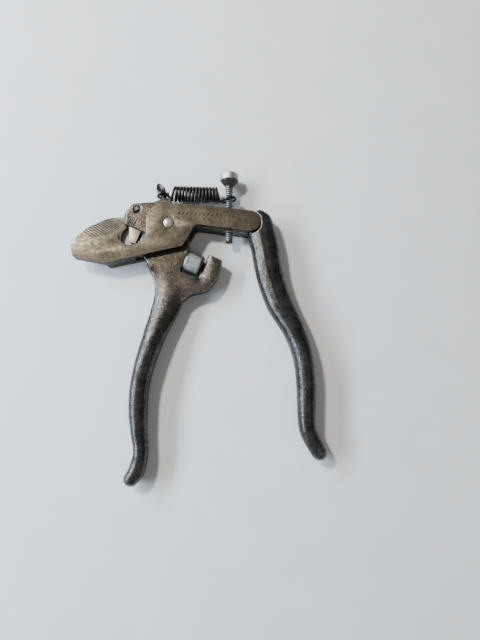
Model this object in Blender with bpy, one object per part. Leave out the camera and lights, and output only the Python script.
"""Plier-type hand punch with a hooked jaw, a sliding gauge, a stop screw and a return spring.

The tool lies flat. +X points right, +Y points from the handle ends to the head and +Z is up.
Sizes are in millimetres, and x and y are measured from the pivot until MM turns them into metres.
"""

import math

import bmesh
import bpy
from mathutils import Vector

MM = 0.001
GAP = 0.3

# Where the pivot stands, so that the whole tool is centred on the origin.
PIVOT_X = -14.0
PIVOT_Y = 51.3

# The sandwich: two cheek plates with the lever and the frame's tongue between them. The tongue
# leaves a wall above and below the stop screw's bore.
CHEEK_THICKNESS = 3.2
SCREW_RADIUS = 2.0
BORE_WALL = 0.4
CORE_THICKNESS = 2 * (SCREW_RADIUS + GAP + BORE_WALL)
REAR_TOP = CHEEK_THICKNESS
CORE_BOTTOM = REAR_TOP + GAP
CORE_TOP = CORE_BOTTOM + CORE_THICKNESS
FRONT_BOTTOM = CORE_TOP + GAP
FRONT_TOP = FRONT_BOTTOM + CHEEK_THICKNESS
MIDDLE = FRONT_TOP / 2
SLACK = 1.0

# The lever sweeps this circle between the cheeks, which the nose pads stay clear of.
SWEEP_RADIUS = 25.3
BOSS_RADIUS = 9.8
BOSS_SIDE = BOSS_RADIUS - 0.1

# The gauge runs along a line that slopes down to the right, under the pivot.
GAUGE_TILT = math.radians(22)
GAUGE_OFFSET = -14.1
HOOK_EDGE = -8.4
NUT_RADIUS = 5.5
NUT_RIM = 0.5
NUT_LENGTH = 9.3
NUT_SLOT_START = 14.8
NUT_SLOT_END = NUT_SLOT_START + NUT_LENGTH + 1.1
NUT_SLOT_DEPTH = GAUGE_OFFSET - NUT_RADIUS - 1.6
ROD_RADIUS = 1.5
ROD_LEFT_END = -14.5
ROD_RIGHT_END = NUT_SLOT_START + GAP + NUT_LENGTH
BLOCK_RIGHT_END = -12.5
BLOCK_TOP_LENGTH = 6.8
BLOCK_BOTTOM_LENGTH = 3.2

PIVOT_RADIUS = 2.5
SLEEVE_RADIUS = 3.6
RIVET_HEAD_RADIUS = 2.8
RIVET_HEAD_HEIGHT = 1.0
HEAD_SEAT_DEPTH = 0.7
BLIND_TOP = FRONT_BOTTOM + 1.8
ARM_PIN_RADIUS = 1.9
ARM_PINS = ((21.5, 3.4), (41.6, 1.4))
NOSE_PIN_RADIUS = 1.2
NOSE_PINS = ((-29.3, -16.6), (-23.0, -16.6))
STOP_PIN = (-15.0, -15.7)
STOP_PIN_RADIUS = 0.9
JAW_PIN = (-17.7, 9.2)
JAW_PIN_RADIUS = 1.1

SCREW_X = 31.3
SCREW_TOP = 29.6
SCREW_TIP = -9.4
SCREW_HEAD_RADIUS = 5.0
SCREW_RIM_LENGTH = 4.0
SCREW_CONE_LENGTH = 3.6

SPRING_WIRE = 0.65
SPRING_RADIUS = 3.55
SPRING_TURNS = 14
SPRING_PITCH = 1.66
SPRING_START_X = 2.1
SPRING_Y = 18.1
SPRING_RING_RADIUS = SCREW_RADIUS + SPRING_WIRE + 2 * GAP
SPRING_RING_Y = 15.6

POST_BASE = Vector((-3.0, 15.2))
POST_LEAN = math.radians(24)
POST_ROOT_RADIUS = 1.2
POST_NECK = 3.1
POST_NECK_RADIUS = 1.7

HANDLE_SIDES = 20
SEGMENTS = 32


def rounded(corners):
    """Outline with each corner (x, y, radius) replaced by an arc that is tangent to both its edges."""
    points = []
    for index, (x, y, radius) in enumerate(corners):
        corner = Vector((x, y))
        before = Vector(corners[index - 1][:2]) - corner
        after = Vector(corners[(index + 1) % len(corners)][:2]) - corner
        if radius == 0:
            points.append(corner)
            continue
        half_angle = before.angle(after) / 2
        bisector = (before.normalized() + after.normalized()).normalized()
        centre = corner + bisector * (radius / math.sin(half_angle))
        run = radius / math.tan(half_angle)
        start = corner + before.normalized() * run - centre
        end = corner + after.normalized() * run - centre
        turn = start.angle_signed(end)
        steps = max(2, math.ceil(abs(turn) / math.radians(12)))
        first = math.atan2(start.y, start.x)
        for step in range(steps + 1):
            angle = first - turn * step / steps
            points.append(centre + Vector((math.cos(angle), math.sin(angle))) * radius)
    return points


def circle(x, y, radius, segments=SEGMENTS):
    """Outline of a circle."""
    angles = [2 * math.pi * step / segments for step in range(segments)]
    return [Vector((x + radius * math.cos(a), y + radius * math.sin(a))) for a in angles]


def along_gauge(distance, offset):
    """Point at this distance down the gauge's line, and offset across it."""
    cosine = math.cos(GAUGE_TILT)
    sine = math.sin(GAUGE_TILT)
    return (distance * cosine + offset * sine, offset * cosine - distance * sine)


def gauge_box(start, end, low, high):
    """Rectangle along the gauge's line, as corners without rounding."""
    ends = ((start, low), (end, low), (end, high), (start, high))
    return [Vector(along_gauge(distance, offset)) for distance, offset in ends]


def axis_at(name, x, y, turn=0.0):
    """Empty on a joint's axis, which that joint's pieces hang from."""
    empty = bpy.data.objects.new(name, None)
    empty.location = ((PIVOT_X + x) * MM, (PIVOT_Y + y) * MM, 0)
    empty.rotation_euler.z = turn
    bpy.context.collection.objects.link(empty)
    return empty


def mesh_object(name, parent, vertices, faces):
    """Object with outward faces, from vertices in millimetres."""
    mesh = bpy.data.meshes.new(name)
    mesh.from_pydata([Vector(vertex) * MM for vertex in vertices], [], faces)
    shape = bmesh.new()
    shape.from_mesh(mesh)
    bmesh.ops.recalc_face_normals(shape, faces=shape.faces)
    shape.to_mesh(mesh)
    shape.free()
    mesh.shade_smooth()
    mesh.set_sharp_from_angle(angle=math.radians(35))
    obj = bpy.data.objects.new(name, mesh)
    obj.parent = parent
    bpy.context.collection.objects.link(obj)
    return obj


def prism(name, parent, outline, bottom, top):
    """Outline extruded from bottom to top."""
    count = len(outline)
    vertices = [(point[0], point[1], level) for level in (bottom, top) for point in outline]
    sides = [
        (step, (step + 1) % count, count + (step + 1) % count, count + step)
        for step in range(count)
    ]
    caps = [tuple(range(count)), tuple(range(count, 2 * count))]
    return mesh_object(name, parent, vertices, sides + caps)


def rings_solid(name, parent, rings):
    """Closed skin over rings of equal length, with a flat cap at each end."""
    sides = len(rings[0])
    vertices = [vertex for ring in rings for vertex in ring]
    faces = [
        (
            level * sides + step,
            level * sides + (step + 1) % sides,
            (level + 1) * sides + (step + 1) % sides,
            (level + 1) * sides + step,
        )
        for level in range(len(rings) - 1)
        for step in range(sides)
    ]
    last = (len(rings) - 1) * sides
    caps = [tuple(range(sides)), tuple(range(last, last + sides))]
    return mesh_object(name, parent, vertices, faces + caps)


def turned(name, parent, profile, place):
    """Profile of (distance, radius) steps turned about an axis that place maps into the tool."""
    rings = []
    for distance, radius in profile:
        angles = [2 * math.pi * step / SEGMENTS for step in range(SEGMENTS)]
        rings.append(
            [place(distance, radius * math.cos(a), radius * math.sin(a)) for a in angles]
        )
    return rings_solid(name, parent, rings)


def upright(x, y):
    """Places a turned profile on a vertical axis through (x, y)."""
    return lambda distance, across, aside: (x + across, y + aside, distance)


def spline_value(knots, position):
    """Catmull-Rom value of evenly spaced knots, each a tuple of numbers."""
    index = min(int(position), len(knots) - 2)
    t = position - index
    before = knots[max(index - 1, 0)]
    start = knots[index]
    end = knots[index + 1]
    after = knots[min(index + 2, len(knots) - 1)]
    return [
        0.5
        * (
            2 * b
            + (c - a) * t
            + (2 * a - 5 * b + 4 * c - d) * t * t
            + (3 * b - a - 3 * c + d) * t ** 3
        )
        for a, b, c, d in zip(before, start, end, after)
    ]


def rounded_wave(wave, squareness):
    """Sine or cosine bent so that a circle becomes a rounded rectangle."""
    return math.copysign(abs(wave) ** (2 / squareness), wave)


def handle_solid(name, parent, stations, steps_per_station):
    """Bar along stations of (x, y, width, thickness, squareness). Squareness 2 is an oval section."""
    count = (len(stations) - 1) * steps_per_station
    samples = [
        spline_value(stations, step / steps_per_station) for step in range(count + 1)
    ]
    rings = []
    for index, (x, y, width, thickness, squareness) in enumerate(samples):
        ahead = samples[min(index + 1, count)]
        behind = samples[max(index - 1, 0)]
        run = Vector((ahead[0] - behind[0], ahead[1] - behind[1])).normalized()
        side = Vector((run.y, -run.x))
        ring = []
        for step in range(HANDLE_SIDES):
            angle = 2 * math.pi * (step + 0.5) / HANDLE_SIDES
            out = side * (rounded_wave(math.cos(angle), squareness) * width / 2)
            up = rounded_wave(math.sin(angle), squareness) * min(thickness / 2, MIDDLE)
            ring.append((x + out.x, y + out.y, MIDDLE + up))
        rings.append(ring)
    return rings_solid(name, parent, rings)


def with_round_end(stations, length):
    """The stations with the last one's section drawn in to a rounded end over this length."""
    last = Vector(stations[-1][:2])
    run = (last - Vector(stations[-2][:2])).normalized()
    width, thickness, squareness = stations[-1][2:]
    end = []
    for fraction in (0.5, 0.8, 0.95, 1.0):
        place = last + run * (length * fraction)
        scale = max(math.sqrt(1 - fraction * fraction), 0.2)
        end.append((place.x, place.y, width * scale, thickness * scale, squareness))
    return stations + end


def combine(obj, other, operation):
    """Boolean of two objects, whose second one is only a helper from then on."""
    modifier = obj.modifiers.new(other.name, "BOOLEAN")
    modifier.operation = operation
    modifier.object = other
    modifier.solver = "EXACT"
    other.hide_render = True
    other.display_type = "WIRE"


def paint(obj, colour, roughness, metallic):
    """Gives the object its own Principled material."""
    material = bpy.data.materials.new(obj.name)
    material.use_nodes = True
    shader = material.node_tree.nodes["Principled BSDF"]
    shader.inputs["Base Color"].default_value = (*colour, 1)
    shader.inputs["Roughness"].default_value = roughness
    shader.inputs["Metallic"].default_value = metallic
    obj.data.materials.append(material)


# Outline corners are (x, y, radius of the rounding). Both cheeks share the elbow and the arm.
ELBOW = ((7.4, -12.6, 2.5), (13.7, -0.8, 3.0))
ARM_END = ((47.9, -5.0, 5.2), (47.4, 6.0, 5.2))
ARM_TOP = (20.0, 9.4, 40.0)
ARM = (*ELBOW, *ARM_END, ARM_TOP)

FRONT_CHEEK = (
    (-50.4, -12.0, 0.4),
    (-48.8, -18.3, 0.8),
    (-31.8, -21.5, 5.0),
    *ARM,
    (-11.6, 11.4, 9.0),
    (-11.6, -12.0, 7.0),
    (-25.6, -12.0, 6.0),
    (-26.5, -5.5, 0.9),
)

REAR_CHEEK = (
    (-51.7, -6.0, 0.4),
    (-46.4, -8.9, 0.8),
    (-26.6, -8.6, 1.0),
    (-26.6, 2.4, 8.0),
    (-10.4, 2.4, 8.0),
    (-10.4, -13.8, 8.0),
    (-32.4, -13.8, 0.4),
    (-32.4, -21.3, 0.6),
    *ARM,
    (-6.0, 10.9, 6.0),
    (-20.0, 7.2, 20.0),
    (-34.2, 6.0, 14.0),
    (-45.4, 0.4, 10.0),
)

LEVER_HEAD = (
    (*along_gauge(-22.7, HOOK_EDGE), 0.9),
    (*along_gauge(-8.7, HOOK_EDGE), 0.6),
    (-11.4, -11.0, 1.0),
    (-13.7, -14.2, 0.6),
    (-13.7, -16.3, 0.8),
    (-11.4, -19.6, 1.0),
    (-8.6, -25.5, 4.0),
    (-6.2, -35.0, 6.0),
    (-5.6, -41.0, 1.0),
    (5.0, -43.0, 1.0),
    (11.0, -37.8, 8.0),
    (20.5, -35.4, 5.0),
    (25.2, -29.0, 6.0),
    (28.0, -19.4, 1.0),
    (*along_gauge(NUT_SLOT_END, -7.1), 0.6),
    (*along_gauge(NUT_SLOT_END, NUT_SLOT_DEPTH), 0.5),
    (*along_gauge(NUT_SLOT_START, NUT_SLOT_DEPTH), 0.5),
    (*along_gauge(NUT_SLOT_START, -7.9), 0.8),
    (BOSS_SIDE, -5.0, 4.0),
    (BOSS_SIDE, 4.0, 8.0),
    (4.0, BOSS_SIDE, 4.0),
    (0.9, BOSS_RADIUS, 0.6),
    (0.4, 15.9, 1.2),
    (-5.6, 14.9, 1.2),
    (-8.6, 13.4, 2.0),
    (-20.3, 12.6, 4.5),
    (-24.4, 6.5, 5.0),
)

LEVER_GRIP = [
    (-5.2, -12.5, 13.0, 5.0, 3.0),
    (-3.6, -17.6, 17.4, 5.0, 3.0),
    (-0.9, -24.5, 16.6, 5.2, 2.9),
    (0.9, -33.0, 15.8, 5.8, 2.7),
    (-0.5, -42.5, 14.7, 8.0, 2.5),
    (-5.6, -56.1, 11.7, 10.8, 2.3),
    (-9.9, -69.4, 10.6, 12.4, 2.2),
    (-12.8, -82.5, 9.8, 12.4, 2.2),
    (-13.4, -94.8, 9.6, 11.8, 2.2),
    (-12.5, -106.4, 8.3, 10.4, 2.2),
    (-11.3, -116.0, 7.5, 9.4, 2.2),
    (-13.0, -124.6, 8.1, 9.2, 2.2),
    (-15.6, -128.6, 7.4, 8.6, 2.2),
]

FRAME_GRIP = [
    (47.6, 8.3, 2.4, 6.0, 2.2),
    (47.6, 7.5, 5.0, 8.6, 2.3),
    (47.7, 5.5, 9.6, 10.2, 2.4),
    (48.2, 2.6, 12.0, 10.8, 2.4),
    (48.6, -1.2, 13.8, 11.2, 2.4),
    (48.9, -6.0, 15.3, 11.4, 2.4),
    (50.4, -13.0, 14.9, 11.8, 2.4),
    (52.3, -26.0, 14.3, 12.0, 2.3),
    (57.2, -41.5, 14.0, 12.2, 2.2),
    (64.0, -54.6, 11.8, 12.4, 2.2),
    (68.3, -67.0, 10.5, 12.4, 2.2),
    (70.0, -80.0, 10.1, 12.0, 2.2),
    (69.9, -94.0, 9.3, 11.4, 2.2),
    (70.3, -105.5, 8.5, 10.2, 2.2),
    (75.2, -115.2, 8.0, 9.2, 2.2),
]

LOWER_PAD = ((-32.4, -13.8), (-32.4, -21.3), (-14.0, -17.3), (-14.0, -13.8))

TONGUE = (
    (12.2, -0.9, 0.5),
    (44.0, -4.9, 0.0),
    (52.5, -3.0, 3.0),
    (52.0, 6.4, 3.0),
    (44.0, 8.0, 6.0),
    (38.0, 6.6, 1.0),
    (20.0, 8.9, 40.0),
    (3.5, 9.9, 0.3),
    (9.0, 3.0, 0.0),
)


def build_front_cheek(parent):
    """Front plate: the arm, the round work notch and the thick blunt nose."""
    cheek = prism("front_cheek", parent, rounded(FRONT_CHEEK), MIDDLE + GAP / 2, FRONT_TOP)
    below = MIDDLE - SLACK
    sweep = prism("front_sweep_cut", parent, circle(0, 0, SWEEP_RADIUS, 72), below, FRONT_BOTTOM)
    combine(cheek, sweep, "DIFFERENCE")
    arm_side = [(-12.0, -30.0), (60.0, -30.0), (60.0, 20.0), (-12.0, 20.0)]
    arm = prism("front_arm_cut", parent, arm_side, below, FRONT_BOTTOM)
    combine(cheek, arm, "DIFFERENCE")
    drill_plate(cheek, parent, FRONT_BOTTOM - SLACK, FRONT_TOP + SLACK)
    seat = prism(
        "rivet_head_seat",
        parent,
        circle(0, 0, RIVET_HEAD_RADIUS + GAP),
        FRONT_TOP - HEAD_SEAT_DEPTH,
        FRONT_TOP + SLACK,
    )
    combine(cheek, seat, "DIFFERENCE")
    paint(cheek, (0.30, 0.26, 0.20), 0.42, 0.9)


def build_rear_cheek(parent):
    """Rear plate: the arm, the open throat, the serrated jaw and a short lower nose with a pad."""
    cheek = prism("rear_cheek", parent, rounded(REAR_CHEEK), 0, REAR_TOP)
    pad = prism("lower_nose_pad", parent, LOWER_PAD, REAR_TOP - SLACK, MIDDLE - GAP / 2)
    sweep = prism("rear_sweep_cut", parent, circle(0, 0, SWEEP_RADIUS, 72), REAR_TOP, MIDDLE)
    combine(cheek, pad, "UNION")
    combine(cheek, sweep, "DIFFERENCE")
    drill_plate(cheek, parent, -SLACK, REAR_TOP + SLACK)
    paint(cheek, (0.20, 0.17, 0.13), 0.5, 0.9)


def drill_plate(cheek, parent, bottom, top):
    """The pivot hole and the pin holes, which stop inside the front plate."""
    drill(cheek, f"{cheek.name}_pivot_hole", parent, 0, 0, PIVOT_RADIUS, bottom, top)
    for name, (x, y), radius in pins():
        drill(cheek, f"{cheek.name}_{name}_hole", parent, x, y, radius, -SLACK, BLIND_TOP + GAP)


def drill(obj, name, parent, x, y, radius, bottom, top):
    """Clearance hole for a round piece of this radius."""
    hole = prism(name, parent, circle(x, y, radius + GAP), bottom, top)
    combine(obj, hole, "DIFFERENCE")


def build_frame_handle(parent):
    """Right handle forging, with the tongue that the cheeks are riveted to."""
    handle = prism("frame_handle", parent, rounded(TONGUE), CORE_BOTTOM, CORE_TOP)
    grip = handle_solid("frame_grip", parent, with_round_end(FRAME_GRIP, 5.0), 3)
    (low_x, low_y, low_round), (high_x, high_y, high_round) = ARM_END
    seat = (
        (0, low_y - GAP, 0),
        (low_x + GAP, low_y - GAP, low_round + GAP / 2),
        (high_x + GAP, high_y + GAP, high_round + GAP / 2),
        (ARM_TOP[0], ARM_TOP[1] + GAP, 0),
    )
    for name, bottom, top in (
        ("front_shoulder_cut", FRONT_BOTTOM - GAP, FRONT_TOP + SLACK),
        ("rear_shoulder_cut", -SLACK, REAR_TOP + GAP),
    ):
        shoulder = prism(name, parent, rounded(seat), bottom, top)
        combine(grip, shoulder, "DIFFERENCE")
    combine(handle, grip, "UNION")
    boss = prism("boss_cut", parent, circle(0, 0, BOSS_RADIUS + 2 * GAP, 64), 0, FRONT_TOP)
    combine(handle, boss, "DIFFERENCE")
    for number, (x, y) in enumerate(ARM_PINS):
        name = f"tongue_hole_{number}"
        drill(handle, name, parent, x, y, ARM_PIN_RADIUS, 0, FRONT_TOP)
    bore = turned(
        "screw_bore",
        parent,
        ((SCREW_TIP, SCREW_RADIUS + GAP), (SCREW_TOP, SCREW_RADIUS + GAP)),
        lambda along, across, up: (SCREW_X + across, along, MIDDLE + up),
    )
    combine(handle, bore, "DIFFERENCE")
    paint(handle, (0.075, 0.07, 0.065), 0.42, 0.85)


def build_pivot(parent):
    """Domed pivot rivet and the sleeve that the lever turns on."""
    crown = FRONT_TOP - HEAD_SEAT_DEPTH + GAP
    dome = [
        (crown + (FRONT_TOP + RIVET_HEAD_HEIGHT - crown) * math.sin(a), RIVET_HEAD_RADIUS * math.cos(a))
        for a in [math.radians(angle) for angle in (20, 40, 60, 80)]
    ]
    profile = [(0, PIVOT_RADIUS), (crown, PIVOT_RADIUS), (crown, RIVET_HEAD_RADIUS)] + dome
    rivet = turned("pivot_rivet", parent, profile, upright(0, 0))
    paint(rivet, (0.42, 0.40, 0.36), 0.3, 1.0)
    sleeve = prism("pivot_sleeve", parent, circle(0, 0, SLEEVE_RADIUS), CORE_BOTTOM, CORE_TOP)
    drill(sleeve, "sleeve_bore", parent, 0, 0, PIVOT_RADIUS, 0, FRONT_TOP)
    paint(sleeve, (0.30, 0.28, 0.25), 0.35, 1.0)


def pins():
    """Name, place and radius of each pin that is driven in from the back."""
    listed = [(f"arm_pin_{n}", place, ARM_PIN_RADIUS) for n, place in enumerate(ARM_PINS, 1)]
    listed += [(f"nose_pin_{n}", place, NOSE_PIN_RADIUS) for n, place in enumerate(NOSE_PINS, 1)]
    listed.append(("open_stop_pin", STOP_PIN, STOP_PIN_RADIUS))
    return listed


def build_pins(parent):
    """Pins that hold the sandwich together, and the one that the lever rests on when open."""
    for name, (x, y), radius in pins():
        pin = prism(name, parent, circle(x, y, radius, 24), 0, BLIND_TOP)
        paint(pin, (0.30, 0.27, 0.22), 0.4, 0.95)


def build_lever(parent):
    """Left handle forging, with the hooked jaw, the slot for the nut and the channel for the rod."""
    lever = prism("lever", parent, rounded(LEVER_HEAD), CORE_BOTTOM, CORE_TOP)
    grip = handle_solid("lever_grip", parent, with_round_end(LEVER_GRIP, 3.6), 3)
    combine(lever, grip, "UNION")
    slot = prism(
        "nut_slot",
        parent,
        gauge_box(NUT_SLOT_START, NUT_SLOT_END, NUT_SLOT_DEPTH, GAUGE_OFFSET + 12),
        -SLACK,
        FRONT_TOP + SLACK,
    )
    combine(lever, slot, "DIFFERENCE")
    drill(lever, "lever_bore", parent, 0, 0, SLEEVE_RADIUS, 0, FRONT_TOP)
    drill(lever, "jaw_pin_bore", parent, *JAW_PIN, JAW_PIN_RADIUS, 0, FRONT_TOP)
    channel = turned(
        "rod_channel",
        parent,
        ((-30, ROD_RADIUS + GAP), (30, ROD_RADIUS + GAP)),
        lambda along, across, up: (*along_gauge(along, GAUGE_OFFSET + across), MIDDLE + up),
    )
    combine(lever, channel, "DIFFERENCE")
    paint(lever, (0.085, 0.08, 0.07), 0.42, 0.85)

    pin = prism("jaw_pin", parent, circle(*JAW_PIN, JAW_PIN_RADIUS, 24), CORE_BOTTOM, CORE_TOP)
    paint(pin, (0.32, 0.29, 0.24), 0.4, 0.95)


def build_spring_post(parent, lever):
    """Leaf-shaped post on the lever's top lug, which the spring hooks round."""
    lean = Vector((-math.sin(POST_LEAN), math.cos(POST_LEAN)))
    side = Vector((lean.y, -lean.x))

    def place(along, across, up):
        spot = POST_BASE + lean * along + side * across
        return (spot.x, spot.y, MIDDLE + up)

    root = POST_ROOT_RADIUS
    neck = POST_NECK_RADIUS
    sections = (
        (-3.0, root, root),
        (1.6, root, root),
        (1.6, neck, neck),
        (POST_NECK, neck, neck),
        (4.6, 2.1, 1.8),
        (6.6, 2.2, 1.7),
        (8.4, 1.7, 1.4),
        (9.8, 0.8, 0.8),
        (10.3, 0.3, 0.3),
    )
    angles = [2 * math.pi * step / 24 for step in range(24)]
    rings = [
        [place(along, wide * math.cos(a), thick * math.sin(a)) for a in angles]
        for along, wide, thick in sections
    ]
    post = rings_solid("spring_post", parent, rings)
    paint(post, (0.16, 0.15, 0.14), 0.38, 0.9)
    socket = turned("post_socket", parent, ((-3.0 - GAP, root + GAP), (4.0, root + GAP)), place)
    combine(lever, socket, "DIFFERENCE")


def build_adjuster(axis):
    """Knurled nut, and the threaded rod with the gauge block that it moves."""

    def on_axis(along, across, up):
        return (along, across, MIDDLE + up)

    start = NUT_SLOT_START + GAP
    half = NUT_LENGTH / 2
    nut = turned(
        "adjusting_nut",
        axis,
        (
            (-half, NUT_RADIUS - NUT_RIM),
            (-half + NUT_RIM, NUT_RADIUS),
            (half - NUT_RIM, NUT_RADIUS),
            (half, NUT_RADIUS - NUT_RIM),
        ),
        on_axis,
    )
    bore = turned(
        "nut_bore",
        axis,
        ((-NUT_LENGTH, ROD_RADIUS + GAP), (NUT_LENGTH, ROD_RADIUS + GAP)),
        on_axis,
    )
    combine(nut, bore, "DIFFERENCE")
    paint(nut, (0.33, 0.33, 0.33), 0.35, 1.0)

    centre = start + half
    rod = turned(
        "gauge_rod",
        axis,
        ((ROD_LEFT_END - centre, ROD_RADIUS), (ROD_RIGHT_END - centre, ROD_RADIUS)),
        on_axis,
    )
    paint(rod, (0.25, 0.24, 0.22), 0.35, 1.0)

    top = HOOK_EDGE - GAP - GAUGE_OFFSET
    bottom = -ROD_RADIUS - 2 * GAP
    right = BLOCK_RIGHT_END - centre
    outline = [
        (right, bottom),
        (right, top),
        (right - BLOCK_TOP_LENGTH, top),
        (right - BLOCK_BOTTOM_LENGTH, bottom),
    ]
    block = prism("gauge_block", axis, outline, CORE_BOTTOM + GAP, CORE_TOP - GAP)
    hole = turned(
        "block_bore",
        axis,
        ((ROD_LEFT_END - GAP - centre, ROD_RADIUS + GAP), (0, ROD_RADIUS + GAP)),
        on_axis,
    )
    combine(block, hole, "DIFFERENCE")
    paint(block, (0.40, 0.35, 0.26), 0.4, 0.95)


def build_stop_screw(axis):
    """Thumbscrew through the arm, whose tip stops the lever's beak."""
    cone_end = SCREW_TOP - SCREW_RIM_LENGTH - SCREW_CONE_LENGTH
    profile = (
        (SCREW_TIP, SCREW_RADIUS - 0.5),
        (SCREW_TIP + 0.5, SCREW_RADIUS),
        (cone_end, SCREW_RADIUS),
        (SCREW_TOP - SCREW_RIM_LENGTH, SCREW_HEAD_RADIUS),
        (SCREW_TOP - 0.5, SCREW_HEAD_RADIUS),
        (SCREW_TOP, SCREW_HEAD_RADIUS - 0.5),
    )
    screw = turned(
        "stop_screw", axis, profile, lambda along, across, up: (across, along, MIDDLE + up)
    )
    paint(screw, (0.24, 0.25, 0.26), 0.35, 1.0)


def spring_path():
    """Centreline of the spring wire: a hook round the post, the close coil and a hook round the screw."""
    lean = Vector((-math.sin(POST_LEAN), math.cos(POST_LEAN), 0))
    side = Vector((lean.y, -lean.x, 0))
    up = Vector((0, 0, 1))
    neck = Vector((POST_BASE.x, POST_BASE.y, MIDDLE)) + lean * POST_NECK
    hook = POST_NECK_RADIUS + SPRING_WIRE + GAP
    points = []
    for step in range(21):
        angle = math.radians(-60 - 300 * step / 20)
        points.append(neck + side * (hook * math.cos(angle)) + up * (hook * math.sin(angle)))
    per_turn = 12
    for step in range(SPRING_TURNS * per_turn + 1):
        angle = 2 * math.pi * step / per_turn
        points.append(
            Vector(
                (
                    SPRING_START_X + SPRING_PITCH * step / per_turn,
                    SPRING_Y - SPRING_RADIUS * math.cos(angle),
                    MIDDLE + SPRING_RADIUS * math.sin(angle),
                )
            )
        )
    ring = Vector((SCREW_X, SPRING_RING_Y, MIDDLE))
    for step in range(19):
        angle = math.radians(-90 + 290 * step / 18)
        around = Vector((math.cos(angle), 0, math.sin(angle)))
        points.append(ring + around * SPRING_RING_RADIUS)
    return points


def build_spring(parent):
    """Close-wound extension spring between the post and the stop screw."""
    curve = bpy.data.curves.new("return_spring", "CURVE")
    curve.dimensions = "3D"
    curve.bevel_depth = SPRING_WIRE * MM
    curve.bevel_resolution = 2
    curve.use_fill_caps = True
    points = spring_path()
    spline = curve.splines.new("POLY")
    spline.points.add(len(points) - 1)
    for knot, point in zip(spline.points, points):
        knot.co = (*(point * MM), 1)
    spring = bpy.data.objects.new("return_spring", curve)
    spring.parent = parent
    bpy.context.collection.objects.link(spring)
    paint(spring, (0.07, 0.06, 0.05), 0.4, 0.9)


def build():
    """Clears the scene and builds the tool at rest, with its handles open."""
    for obj in list(bpy.data.objects):
        bpy.data.objects.remove(obj, do_unlink=True)
    frame = axis_at("frame_pivot", 0, 0)
    build_frame_handle(frame)
    build_front_cheek(frame)
    build_rear_cheek(frame)
    build_pivot(frame)
    build_pins(frame)
    build_spring(frame)
    lever = axis_at("lever_pivot", 0, 0)
    build_lever(lever)
    build_spring_post(lever, bpy.data.objects["lever"])
    nut_place = along_gauge(NUT_SLOT_START + GAP + NUT_LENGTH / 2, GAUGE_OFFSET)
    build_adjuster(axis_at("gauge_axis", *nut_place, -GAUGE_TILT))
    build_stop_screw(axis_at("screw_axis", SCREW_X, 0))


build()
